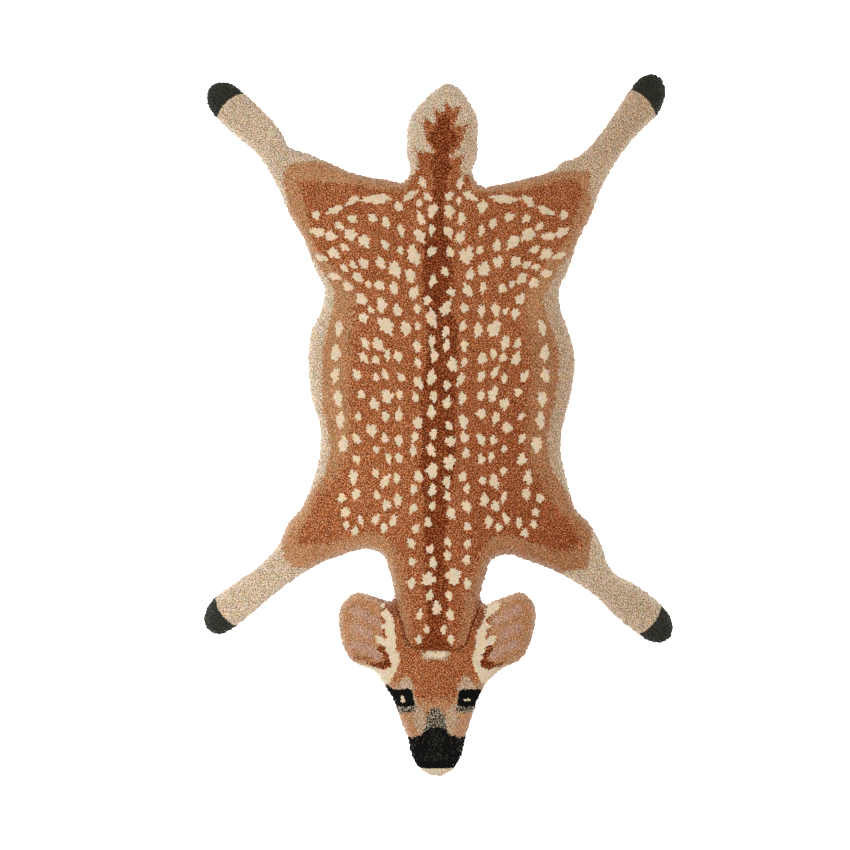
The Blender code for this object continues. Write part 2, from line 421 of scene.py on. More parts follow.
def spin_yarn(places, fields, draw, inset):
    """The shade of each tuft: its field's own or a fleck's, a little uneven, with painted light
    and painted shade in patches on the rust, and painted light at the edge.
    """
    wander = rng.normal(size=len(fields))
    shades = np.zeros((len(fields), 3))
    for name, (main, dark, dark_share, light, light_share, uneven) in YARNS.items():
        here = fields == YARN[name]
        shade = np.where((draw[here] < dark_share)[:, None], dark, main)
        shade = np.where((draw[here] > 1 - light_share)[:, None], light, shade)
        shades[here] = shade + uneven * wander[here][:, None]
    shades += FIELD_DRIFT * soft_waves(places, FIELD_DRIFT_LENGTH, seed=8)[:, None]
    for channel, drift in enumerate(DYE_DRIFT):
        waves = soft_waves(places, DYE_DRIFT_LENGTH, count=10, seed=31 + channel)
        shades[:, channel] *= 1 + drift * waves
    light = to_linear(shades)
    rust = np.isin(fields, [YARN["rust"], YARN["russet"]])
    # painted light and painted shade: lighter patches on the left of the rust, darker ones on the right
    for x, y, radius, lighter in PAINTED_LIGHT_PATCHES:
        gap = np.linalg.norm(places[rust] / MM - (x, y), axis=1) / radius
        light[rust] *= 1 + lighter * np.exp(-(gap**2) / 2)[:, None] * PATCH_LIGHT_TINT
    # painted light on the tufts near the rim, less on dark yarns
    painted_light = PAINTED_EDGE_LIGHT_SHARE * nearness(inset, PAINTED_EDGE_LIGHT_REACH)[:, None]
    painted_light = painted_light * np.clip(light.mean(1, keepdims=True) / PALE_YARN, 0.0, 1.0) ** 2
    return light * (1 - painted_light) + painted_light * to_linear(PAINTED_EDGE_LIGHT)


# %% [markdown]
# ## Laying out the coat
#
# A tufter draws the fields on the cloth before starting. From the edge in: beige legs and a beige
# strip down each flank, a fawn border, the rust coat, and an umber stripe down the spine. The tables
# are in millimetres from the middle of the rug, x to the right and y towards the tail. A row of
# FLANKS gives, at one height, where the fields meet on the left and on the right.

# %% Coat, border and stripe
# y, beige meets fawn and fawn meets rust on the left, rust meets fawn and fawn meets beige on the right
FLANKS = (
    (210, -156, -142, 140, 157), (195, -147, -125, 128, 152), (170, -133, -107, 112, 137),
    (148, -136, -109, 109, 137), (129, -142, -112, 112, 145), (97, -150, -114, 118, 155),
    (57, -150, -117, 121, 155), (17, -149, -114, 116, 147), (-9, -142, -112, 113, 141),
    (-35, -140, -118, 116, 141), (-62, -146, -130, 126, 148), (-94, -170, -159, 144, 172),
)
# Where the beige of a leg gives way to the coat, from the back or chest edge to the flank
HIND_LEFT = [
    (-133, 368), (-145, 341), (-168, 341), (-198, 333), (-201, 316), (-194, 284), (-202, 270), (-182, 225),
]
HIND_RIGHT = [
    (132, 355), (146, 327), (174, 328), (195, 328), (195, 303), (198, 284), (213, 277), (186, 225),
]
FORE_LEFT = [
    (-217, -148), (-203, -152), (-198, -172), (-192, -181), (-180, -184), (-159, -187), (-159, -213),
]
FORE_RIGHT = [(216, -128), (198, -135), (194, -170), (192, -184), (179, -187), (161, -190), (146, -213)]
TAIL_ROOT = [(-55, 326), (-35, 322), (39, 322), (60, 325)]
HEAD_END = [(-159, -470), (159, -470)]
# Where the fawn border gives way to rust
RUST_HIND_LEFT = [(-35, 322), (-42, 302), (-75, 304), (-114, 311), (-183, 316), (-176, 295), (-161, 236)]
RUST_HIND_RIGHT = [
    (39, 322), (44, 300), (72, 300), (107, 303), (167, 316), (180, 316), (186, 296), (164, 236),
]
RUST_FORE_LEFT = [
    (-171, -125), (-184, -147), (-181, -156), (-141, -153), (-91, -138), (-73, -141),
    (-53, -164), (-43, -202), (-41, -250), (-38, -300), (-159, -310),
]
RUST_FORE_RIGHT = [
    (170, -125), (187, -154), (177, -160), (152, -162), (90, -141), (72, -142),
    (60, -154), (42, -191), (33, -236), (30, -300), (159, -310),
]
# y, left edge and right edge of the stripe
STRIPE = np.array((
    (400, 5, 12), (383, -6, 16), (373, -14, 24), (364, -12, 26), (358, -5, 18), (350, -2, 11),
    (338, -9, 15), (330, -9, 16), (320, -5, 10), (290, -7, 6), (265, -12, 7), (245, -16, 12),
    (222, -20, 17), (186, -20, 20), (166, -19, 13), (146, -16, 17), (125, -15, 25), (84, -15, 24),
    (60, -21, 24), (20, -21, 21), (0, -24, 23), (-20, -19, 22), (-45, -26, 22), (-65, -23, 18),
    (-95, -19, 12), (-150, -19, 10), (-166, -17, 7), (-205, -19, 12), (-226, -16, 13), (-247, -15, 7),
    (-266, -15, 5), (-278, -20, 10), (-284, -27, 19), (-288, -20, 14),
))
STRIPE_SWAY, SWAY_LENGTH = 3.2, 10.0  # how far its edges run in and out, and over what length, in mm
RAG_LENGTH = 9.0  # that length for the edges of the other fields


def flank(column):
    """Points of one column of FLANKS, from the tail's end down."""
    return [(row[column], row[0]) for row in FLANKS]


def outline(left, right):
    """A field's outline: down its left side and up its right one."""
    return left + HEAD_END + right[::-1]


COAT = outline(HIND_LEFT + flank(1) + FORE_LEFT, TAIL_ROOT + HIND_RIGHT + flank(4) + FORE_RIGHT)
RUST = outline(RUST_HIND_LEFT + flank(2) + RUST_FORE_LEFT, RUST_HIND_RIGHT + flank(3) + RUST_FORE_RIGHT)


def ragged(places, size, seed):
    """The places, each pushed a little, so that a field's edge isn't a ruled line."""
    shift = [soft_waves(places, RAG_LENGTH, count=8, seed=seed + i) for i in (0, 1)]
    return places + size * np.column_stack(shift)


def in_stripe(places):
    """True along the spine, with an edge that runs in and out."""
    x, y = places.T
    down = np.argsort(STRIPE[:, 0])
    left, right = (np.interp(y, STRIPE[down, 0], STRIPE[down, i]) for i in (1, 2))
    sway = STRIPE_SWAY * soft_waves(places, SWAY_LENGTH, count=8, seed=21)
    reach = (y < STRIPE[:, 0].max()) & (y > STRIPE[:, 0].min())
    return reach & (x > left + sway) & (x < right + sway)


# %% [markdown]
# The tail is beige with a ragged rust leaf on it, and each leg ends in a dark hoof. The leg's beige
# bulges a little into the hoof, so a hoof is what lies beyond a shallow arc over two corners.

# %% Tail and hooves
TAIL_LEAF = (
    (9, 416), (7, 405), (3, 402), (-4, 410), (-5, 398), (-2, 391), (-8, 389), (-17, 398), (-20, 385),
    (-18, 372), (-12, 360), (-5, 351), (-18, 352), (-31, 356), (-26, 342), (-27, 332), (-35, 320),
    (40, 320), (30, 323), (27, 333), (34, 349), (22, 345), (12, 346), (26, 356), (32, 370), (38, 387),
    (22, 385), (21, 391), (26, 400), (29, 413), (20, 409), (16, 404), (13, 414),
)
# corners of the arc, as somebody sees them who looks at the hoof's tip, left one first
HOOF_CORNERS = (
    ((-286, 399), (-252, 429)), ((247, 434), (280, 402)),
    ((-263, -259), (-288, -224)), ((288, -233), (261, -269)),
)
HOOF_ARC = 5.0  # how far the beige bulges into the hoof
HOOF_REACH = 2  # no hoof goes on for more of its own widths


def in_hoof(places):
    """True beyond the arcs at the four legs' ends."""
    found = np.zeros(len(places), bool)
    for left, right in np.array(HOOF_CORNERS, float):
        along = right - left
        width = np.linalg.norm(along)
        tipward = np.array([-along[1], along[0]]) / width
        share = (places - left) @ along / width**2
        beyond = (places - left) @ tipward
        arc = HOOF_ARC * 4 * share * (1 - share)
        found |= (np.abs(share - 0.5) < 1) & (beyond > arc) & (beyond < HOOF_REACH * width)
    return found


# %% [markdown]
# ## The spots
#
# A fawn's spots run in rows from the neck to the rump. They could be scattered at random, but then
# they would clump, so each row is a gently curved line with spots at an even pitch, and each spot is
# pushed, turned and resized a little. A row of the table gives a line on the right half; the left
# half is its mirror image with other random pushes. Spots lean outwards towards the haunches, and
# the other way at the shoulders, as hair lies.

# %% Rows of spots
# x at each of ROW_HEIGHTS, as far as it changes, then the first and last y, the pitch, the length and
# width, and how much of the usual lean the row has
ROW_HEIGHTS = (-290, -240, -180, -130, -60, 0, 60, 120, 240)  # towards the head, so minus y
SPOT_ROWS = (
    ((12, 11, 10, 11, 10, 9, 11, 12, 14), 296, -226, 24.5, 15, 10, 1),
    ((25, 28, 38, 31, 29, 31, 33, 37, 33), 311, -204, 23.2, 15, 10, 1),
    ((53, 51, 56, 49, 54, 52, 55, 60), 281, -126, 27, 15, 10, 1),
    ((64, 71, 80, 67, 70, 70, 62, 70), 263, -136, 28, 15, 10, 1),
    ((84, 98, 94, 79, 83, 88, 82, 86), 268, -130, 30, 14, 9.5, 1),
    ((107, 114, 106, 96, 106, 102, 112, 102), 264, -142, 25.5, 14, 9.5, 1),
    ((139, 124, 119, 116), 257, 172, 26, 14, 9.5, 1),
    ((152, 140, 132, 130), 245, 190, 24, 14, 9, 1),
    ((160, 157, 150), 252, 215, 32, 15, 9.5, 1),
    ((132, 132, 132, 132, 134, 128, 122), 124, -32, 29.4, 21, 11, 0),
    ((134, 134, 134, 134, 134, 134, 134, 123, 30), -94, -144, 15.5, 12, 9, 0.5),
)
# Spots that aren't in a row, over the haunches and at the neck's end: x, y, length, width, lean
LONE_SPOTS = (
    (38, 296, 20, 9, -60), (83, 290, 35, 11, -84), (113, 289, 20, 9, -48), (136, 277, 24, 9, -62),
    (160, 271, 12, 11, 0), (0, -236, 17, 12, 0), (19, -245, 13, 9, -8), (11, -263, 12, 8, 5),
    (20, -277, 12, 9, -10),
)
LEAN_HEIGHTS = (-250, -120, -40, 50, 200, 300)
LEANS = (0, -20, 5, 25, 40, 50)  # degrees from upright, for a spot 100 mm from the spine
LEAN_SPREAD, SHARED_TURN, OWN_TURN = 16, 0.8, 0.6  # degrees, and the part of a pair and of each spot in it
SHARED_PUSH, OWN_PUSH = (2.2, 2.6), 1.5  # how far a pair of spots strays, and each of them for itself
SHARED_SWELL, OWN_SWELL = (0.86, 1.14), (0.85, 1.15)  # the same for length and width, as shares
USUAL_SIZE, SIZE_TAIL, LARGEST = 0.83, 0.18, 1.45  # most spots are small, and a few much larger
LEFT_DROP, DROP_FROM, DROP_TO = 12, 215, -190  # between these heights the spine's left row hangs lower
LEAST_GAP = 1.26  # between the middles of two spots side by side, as a share of their size
LONGER = 0.8  # one above the other they need more, as they are longer than wide
PUSH_SHARE, PUSH_ROUNDS = 0.4, 12  # a push makes up for this share of what lacks
LEAST_FREEDOM, LONE_FREEDOM = 0.4, 0.2  # how much of its straying a row without lean has, and a lone spot
SPINE_HEIGHTS, SPINE_X = (-245, -205), (-4.5, 2.0)  # the neck bends a little to the left


def push_apart(spots):
    """Spots that lie too near each other move away from each other."""
    size = np.sqrt(spots[:, 2] * spots[:, 3])
    need = LEAST_GAP * (size[:, None] + size[None, :]) / 2
    for _ in range(PUSH_ROUNDS):
        apart = spots[:, None, :2] - spots[None, :, :2]
        distance = np.linalg.norm(apart * (1.0, LONGER), axis=2)
        lack = np.clip(need - distance, 0.0, None) / np.maximum(distance, TINY)
        np.fill_diagonal(lack, 0.0)
        spots[:, :2] += PUSH_SHARE * (apart * lack[:, :, None]).sum(1)
    return spots


def lay_spots():
    """Rows of x, y, length, width, lean in radians and three shape numbers, one for each spot."""
    shared, own = np.random.default_rng(77), np.random.default_rng(78)
    spots = []

    def lay(x, y, length, width, lean, freedom, drop=0):
        """One spot on either side, alike but for the hand that drew them."""
        push, turn = shared.normal(size=2) * SHARED_PUSH, shared.normal()
        size = shared.uniform(*SHARED_SWELL, 2)
        size *= min(USUAL_SIZE + SIZE_TAIL * shared.exponential(), LARGEST)
        for side in (1, -1) if x else (1,):
            nudge, swell, twist = own.normal(size=2) * OWN_PUSH, own.uniform(*OWN_SWELL, 2), own.normal()
            lean_here = lean + freedom * LEAN_SPREAD * (SHARED_TURN * turn + OWN_TURN * twist)
            spots.append((
                side * (x + freedom * (push[0] + nudge[0])),
                y + freedom * (push[1] + nudge[1]) - (drop if side < 0 else 0),
                length * swell[0] ** freedom * size[0] ** freedom, width * swell[1] * size[1] ** freedom,
                side * math.radians(lean_here), *own.uniform(0, 2 * math.pi, 3),
            ))

    for number, (xs, top, bottom, pitch, length, width, leaning) in enumerate(SPOT_ROWS):
        freedom = LEAST_FREEDOM + (1 - LEAST_FREEDOM) * leaning
        for y in np.arange(top, bottom, -pitch):
            x = np.interp(-y, ROW_HEIGHTS[:len(xs)], xs)
            lean = leaning * np.interp(y, LEAN_HEIGHTS, LEANS) * x / 100
            drop = LEFT_DROP if number == 0 and DROP_TO < y < DROP_FROM else 0
            lay(x, y, length, width, lean, freedom, drop)
    for x, y, length, width, lean in LONE_SPOTS:
        lay(x, y, length, width, lean, LONE_FREEDOM)
    spots = np.array(spots)
    spots[:, 0] += np.interp(spots[:, 1], SPINE_HEIGHTS, SPINE_X)
    return push_apart(spots)


SPOTS = lay_spots()
print(len(SPOTS), "spots")

# %% Shape of a spot
SPOT_SIZE = 1.07  # how much of its length and width a spot fills
SPOT_ROUNDNESS = 1.5  # 1 is a lozenge and 2 an ellipse
SPOT_LOBES = ((3, 0.10), (5, 0.11), (9, 0.11))  # waves round its edge, and how high each is


def in_spots(places):
    """True on a spot: a lozenge with wavering sides, whose edge the tufts make ragged."""
    found = np.zeros(len(places), bool)
    for x, y, length, width, lean, *phases in SPOTS:
        near = np.flatnonzero(np.abs(places - (x, y)).max(1) < length)
        dx, dy = (places[near] - (x, y)).T
        along = (dx * math.sin(lean) + dy * math.cos(lean)) / (length / 2)
        across = (dx * math.cos(lean) - dy * math.sin(lean)) / (width / 2)
        angle = np.arctan2(along, across)
        reach = np.ones(len(near))
        for (lobes, rise), phase in zip(SPOT_LOBES, phases):
            reach += rise * np.sin(lobes * angle + phase)
        size = np.abs(along) ** SPOT_ROUNDNESS + np.abs(across) ** SPOT_ROUNDNESS
        found[near] |= size ** (1 / SPOT_ROUNDNESS) < SPOT_SIZE * reach
    return found


# %% [markdown]
# ## The head
#
# Half of the head is drawn, and the other half is its mirror image, as on a real animal. The tables
# give u, the distance from the middle of the face, and y. The eyes and the nose are black, the
# muzzle's bridge is a mix of black, grey and cream yarns, and the ears are lined with rose and cream.
# A line of umber tufts along the carved groove is a painted shadow, and a cream crescent lies just below it
# on the crown.

# %% Face and ears
FACE_MIDDLE = -3.5
# field, how far its edge mixes with its neighbours, then the corners u, y; later shapes lie on top
FACE_SHAPES = (
    ("rust", 1.5, ((-9, -294), (26, -294), (40, -282), (44, -262), (80, -240), (80, -400), (-9, -400))),
    ("tawny", 3.0, ((40, -215), (56, -215), (56, -235), (44, -262), (36, -286), (31, -282), (37, -250))),
    ("rust", 1.0, (
        (50, -238), (66, -238), (60, -250), (54, -268), (52, -292), (44, -300), (40, -286), (40, -272),
    )),
    ("sienna", 1.2, ((50, -224), (70, -226), (67, -236), (60, -246), (56, -252), (50, -246))),
    ("apricot", 4.5, ((-9, -356), (16, -352), (25, -358), (60, -364), (60, -408), (-9, -408))),
    ("apricot", 1.8, ((62, -324), (56, -324), (50, -334), (55, -342), (70, -342), (72, -332))),
    ("sand", 1.6, (
        (22, -360), (28, -366), (30, -378), (24, -395), (21, -402), (12, -399), (13, -385), (14, -372),
    )),
    ("sand", 1.0, (
        (53, -341), (48, -333), (43, -326), (37, -323), (32, -329), (29, -337), (26, -352), (25, -366),
        (32, -364),
    )),
    ("pepper", 1.2, ((25, -363), (54, -360), (58, -368), (44, -371), (33, -371), (26, -369))),
    ("jet", 0.4, (
        (68, -342), (44, -340), (34, -340), (30, -343), (29, -352), (27, -361), (34, -363), (64, -362),
    )),
    ("pepper", 1.6, ((-9, -363), (5, -364), (9, -370), (13, -380), (15, -396), (8, -394), (-9, -392))),
    ("black", 0.9, (
        (-9, -389), (8, -390), (13, -394), (18, -399), (27, -402), (48, -404), (46, -418), (42, -433),
        (30, -446), (-9, -446),
    )),
    ("jet", 1.5, ((8, -414), (13, -410), (23, -411), (27, -416), (22, -424), (12, -424))),
    ("jet", 1.2, ((-9, -436), (27, -431), (30, -446), (-9, -446))),
    ("sand", 1.3, ((-9, -291), (15, -291), (20, -295), (15, -302), (-9, -303))),
    ("cream", 1.1, ((-9, -292), (10, -292), (15, -296), (9, -300), (-9, -301))),
    ("fawn", 0.6, (
        (60, -226), (74, -224), (72, -240), (66, -300), (70, -345), (160, -345), (160, -200), (60, -200),
    )),
    ("rose", 2.2, ((107, -231), (69, -252), (75, -262), (113, -241))),
    ("rose", 2.2, ((107, -253), (79, -269), (85, -279), (113, -263))),
    ("rose", 2.2, ((108, -275), (68, -291), (72, -303), (110, -287))),
    ("cream", 0.5, (
        (71, -240), (63, -237), (57, -245), (54, -252), (52, -272), (51, -290), (47, -297), (47, -307),
        (50, -316), (54, -323), (64, -338), (112, -330), (112, -308), (99, -308), (87, -311), (80, -313),
        (66, -315), (58, -312), (58, -306), (60, -299), (63, -292), (65, -287), (71, -284), (77, -279),
        (78, -271), (71, -272), (66, -276), (63, -273), (65, -268), (66, -263), (71, -261), (71, -257),
        (65, -256), (65, -252), (71, -245),
    )),
    ("cream", 0.5, ((72, -230), (66, -229), (66, -235), (71, -236))),
    ("sienna", 1.3, ((57, -218), (80, -216), (82, -223), (68, -228), (62, -232), (57, -230))),
    ("umber", 0.9, (
        (76, -289), (72, -284), (66, -285), (63, -292), (60, -300), (57, -307), (59, -312), (67, -315),
        (75, -313), (88, -309), (86, -305), (77, -307), (67, -305), (66, -299), (70, -293),
    )),
)
# the same, for what is on one side only, with x instead of u
ODD_SHAPES = (
    ("cream", 0.4, ((-47, -346), (-49, -353), (-48.5, -358), (-43, -357), (-44.5, -352))),
    ("cream", 0.5, ((33, -353.5), (38, -352), (41.5, -354), (40.5, -357), (37, -355), (33, -355.5))),
    ("sienna", 0.9, ((50, -234), (59, -236), (61, -240), (59, -250), (55, -257), (51, -265), (46, -262))),
    ("cream", 0.7, ((61, -238), (74, -227), (80, -230), (75, -240), (67, -245), (61, -246))),
    ("sienna", 1.0, ((-112, -299), (-84, -299), (-84, -302), (-112, -302))),
    ("jet", 0.3, ((-70, -334), (-66, -335), (-58, -342), (-60, -348))),
)
CHIN_LINE = -443
# Umber tufts along the groove's line, a painted shadow of the carved groove: how wide that line is and how
# far its tufts mix, in mm
GROOVE_SHADOW_WIDTH, GROOVE_SHADOW_MIX = 2.2, 0.5
FACE_RAG = 0.7  # how far the edges run in and out, in mm


def paint_head(places, fields):
    """Lays the face's fields over those of the coat, and a painted shadow along the groove."""
    mirrored = np.column_stack([np.abs(places[:, 0] - FACE_MIDDLE), places[:, 1]])
    mirrored = ragged(mirrored, FACE_RAG, seed=40)
    mix = np.random.default_rng(41).normal(size=places.shape)
    for shapes, seen in ((FACE_SHAPES, mirrored), (ODD_SHAPES, places)):
        for name, fade, corners in shapes:
            fields[inside(seen + fade * mix, corners)] = YARN[name]
    # painted shadow: umber tufts along the carved groove
    gap, _ = nearest_on(places + GROOVE_SHADOW_MIX * mix, GROOVE_LINE / MM, closed=False)
    fields[gap < GROOVE_SHADOW_WIDTH / 2] = YARN["umber"]
    fields[places[:, 1] < CHIN_LINE] = YARN["cream"]


# %% Paint every field
COAT_RAG = 1.2  # how far the fields' edges run in and out, in mm
FIELD_MIX = 1.2  # how far the tufts of two fields mix where they meet
# How much more fawn and rust mix at each height: they fade into each other on the flanks and the neck
FADE_HEIGHTS, FADE_MIX = (-300, -200, -165, -125, -50, 175, 230), (4.0, 4.0, 2.0, 0.0, 4.2, 4.2, 0.0)
STRIPE_MIX = 1.0
SPOT_MIX = 0.35
# Head-side of this line, from a point on the left to one on the right, the rust is a deeper shade
DEEPER_LINE = ((-20, -275), (98, 10))
# The sand, buff and tawny rows that lie right of the middle, from x 0 on, make the right half darker and
# warmer: painted shade, away from the lamp on the left.
# yarn, the one that takes its place, and the first and last x and y of where it does
TONES = (
    ("beige", "oat", -80, 20, 300, 470), ("beige", "oat", 20, 80, 400, 470),
    ("beige", "sand", 0, 200, -75, 225), ("beige", "buff", 20, 80, 320, 400),
    ("beige", "buff", 120, 320, 280, 470), ("fawn", "tawny", 0, 300, -235, 130),
    ("fawn", "tawny", -80, 80, -300, -228),
)
TONE_MIX = 14
NEARER = 1.0042  # the tables are measured as at the floor, and the tips are nearer to the camera


def fields_at(places):
    """The number of the yarn that each place is tufted with. Places are in metres."""
    places = places / MM * NEARER
    mix = np.random.default_rng(13).normal(size=places.shape)
    fade = np.interp(places[:, 1:], FADE_HEIGHTS, FADE_MIX)
    rough = ragged(places, COAT_RAG, seed=11) + FIELD_MIX * mix
    fields = np.full(len(places), YARN["beige"])
    fields[inside(rough, COAT)] = YARN["fawn"]
    fields[inside(rough + fade * mix, RUST)] = YARN["rust"]
    x, y = (places + TONE_MIX * mix).T
    # some of these rows are painted shade on the right half
    for yarn, other, left, right, low, high in TONES:
        fields[(fields == YARN[yarn]) & (x > left) & (x < right) & (y > low) & (y < high)] = YARN[other]
    (left_x, left_y), (right_x, right_y) = DEEPER_LINE
    deeper = y < left_y + (x - left_x) * (right_y - left_y) / (right_x - left_x)
    fields[deeper & (fields == YARN["rust"])] = YARN["russet"]
    fields[inside(rough, TAIL_LEAF)] = YARN["rust"]
    fields[in_stripe(places + STRIPE_MIX * mix)] = YARN["umber"]
    fields[in_hoof(places)] = YARN["horn"]
    fields[in_spots(places + SPOT_MIX * mix)] = YARN["cream"]
    paint_head(places, fields)
    return fields


fields = fields_at(plan)
shades = spin_yarn(plan, fields, yarn_draw, inset)
for name in YARN_NAMES:
    print(name, int((fields == YARN[name]).sum()), "tufts")

# %% [markdown]
# ## One tuft
#
# In a dense pile only the cut tip of a tuft shows, a small blunt cone of fibres that leans on its
# neighbours. It is repeated more than a hundred thousand times, so it has only five facets, shaded
# smooth. The facets reach far enough out and down for neighbours to close the gaps between them.

# %% Model the tuft
TUFT_SIDES = 5
TIP_RADIUS = 1.22 * MM
TIP_DEPTH = 1.05 * MM
PATCH = "patch"  # its map: the tip in the middle, the foot at the border
PATCH_REACH = 0.46  # a little less than half, so that a border stays free


def model_tuft():
    """The tuft's tip, its point at the origin and its foot below."""
    points, patch = [(0.0, 0.0, 0.0)], [(0.5, 0.5)]
    for i in range(TUFT_SIDES):
        angle = 2 * math.pi * i / TUFT_SIDES
        x, y = math.cos(angle), math.sin(angle)
        points.append((TIP_RADIUS * x, TIP_RADIUS * y, -TIP_DEPTH))
        patch.append((0.5 + PATCH_REACH * x, 0.5 + PATCH_REACH * y))
    faces = [(0, 1 + i, 1 + (i + 1) % TUFT_SIDES) for i in range(TUFT_SIDES)]
    mesh = bpy.data.meshes.new("tuft")
    mesh.from_pydata(points, [], faces)
    mesh.shade_smooth()
    layer = mesh.attributes.new(PATCH, "FLOAT2", "CORNER")
    for loop in mesh.loops:
        layer.data[loop.index].vector = patch[loop.vertex_index]
    return add_object("tuft", mesh)


tuft = model_tuft()
print("one tuft:", len(tuft.data.polygons), "faces")

# %% [markdown]
# ## Wool
#
# Wool scatters light softly and has a faint bloom at a grazing angle, which is what sheen is for.
# The shade comes from the tuft itself, as an attribute. On top of it a fine noise stands for the cut
# ends of the fibres: it lightens and darkens them a little, and it makes the bump and the roughness
# uneven. The cloth below uses the same fibre group with coarser values.

# %% Build node trees
def add_node(tree, kind, inputs=(), **settings):
    """A new node, set up and fed."""
    node = tree.nodes.new(kind)
    for name, value in settings.items():
        setattr(node, name, value)
    feed(tree, node, dict(inputs))
    return node


def calculate(tree, operation, first, second):
    """The output of a math node."""
    return add_node(tree, "ShaderNodeMath", {0: first, 1: second}, operation=operation).outputs[0]


def new_group(name, kind, inputs, outputs):
    """A node group with named sockets: for each its name and kind, and for an input its default."""
    tree = bpy.data.node_groups.new(name, kind)
    for way, rows in (("INPUT", inputs), ("OUTPUT", outputs)):
        for title, sort, *default in rows:
            socket = tree.interface.new_socket(title, in_out=way, socket_type="NodeSocket" + sort)
            if default:
                socket.default_value = default[0]
    return tree


# %% Fibre group
FIBRE_INPUTS = (
    ("Shade", "Color"), ("Fibre size", "Float", 0.5 * MM), ("Contrast", "Float", 0.2),
    ("Least roughness", "Float", 0.8),
)
FIBRE_OUTPUTS = (("Shade", "Color"), ("Roughness", "Float"), ("Height", "Float"))


def fibre_group():
    """A shade, roughness and height that vary as fine fibres do."""
    tree = new_group("fibres", "ShaderNodeTree", FIBRE_INPUTS, FIBRE_OUTPUTS)
    add = partial(add_node, tree)
    given = add("NodeGroupInput").outputs
    place = add("ShaderNodeTexCoord").outputs["Object"]
    scale = calculate(tree, "DIVIDE", 1.0, given["Fibre size"])
    noise = add("ShaderNodeTexNoise", {"Vector": place, "Scale": scale, "Detail": 2.0}).outputs["Fac"]
    darkest = calculate(tree, "SUBTRACT", 1.0, given["Contrast"])
    lightest = calculate(tree, "ADD", 1.0, given["Contrast"])
    lift = add("ShaderNodeMapRange", {
        "Value": noise, "From Min": 0.25, "From Max": 0.75, "To Min": darkest, "To Max": lightest,
    })
    tint = add("ShaderNodeVectorMath", operation="SCALE")
    feed(tree, tint, {0: given["Shade"], "Scale": lift.outputs["Result"]})
    rough = add("ShaderNodeMapRange", {
        "Value": noise, "From Min": 0.3, "From Max": 0.7, "To Min": given["Least roughness"], "To Max": 1.0,
    })
    add("NodeGroupOutput", {
        "Shade": tint.outputs["Vector"], "Roughness": rough.outputs["Result"], "Height": noise,
    })
    return tree


FIBRES = fibre_group()


# %% Wool material
SHADE = "yarn"  # the attribute that holds each tuft's shade


def cloth_material(name, sheen, fibre_size, contrast, bump_strength, bump_depth):
    """A material whose shader is set up for cloth, with its fibre group and bump."""
    material = bpy.data.materials.new(name)
    material.use_nodes = True
    tree = material.node_tree
    fibres = add_node(tree, "ShaderNodeGroup", node_tree=FIBRES)
    feed(tree, fibres, {"Fibre size": fibre_size, "Contrast": contrast})
    bump = add_node(tree, "ShaderNodeBump", {
        "Height": fibres.outputs["Height"], "Strength": bump_strength, "Distance": bump_depth,
    })
    feed(tree, tree.nodes["Principled BSDF"], {
        "Base Color": fibres.outputs["Shade"], "Roughness": fibres.outputs["Roughness"],
        "Normal": bump.outputs["Normal"], "Specular IOR Level": 0.08,
        "Sheen Weight": sheen, "Sheen Roughness": 0.5,
    })
    return material, fibres, bump


def wool():
    """Cut wool pile, in the shade that each tuft carries."""
    material, fibres, _ = cloth_material(
        "wool", sheen=0.04, fibre_size=0.7 * MM, contrast=0.25, bump_strength=0.35, bump_depth=0.25 * MM,
    )
    shade = add_node(material.node_tree, "ShaderNodeAttribute", attribute_name=SHADE)
    feed(material.node_tree, fibres, {"Shade": shade.outputs["Color"]})
    return material


WOOL = wool()

# %% [markdown]
# ## Planting the tufts
#
# The tufts are planted by Geometry Nodes: one tuft on each place, turned to the place's axis, spun
# and resized at random, then made real. The tree also lays out a map: a square cell for each tuft,
# so that no two tufts share a piece of it.

# %% Planting tree
BAKE_MAP = "OFBake"
CELL, AXIS = "cell", "axis"
PLANTING_INPUTS = (
    ("Geometry", "Geometry"), ("Tuft", "Object"), ("Yarn", "Material"), ("Width spread", "Float", 0.1),
    ("Depth spread", "Float", 0.15), ("Cells across", "Float", 100.0), ("Seed", "Int", 5),
)


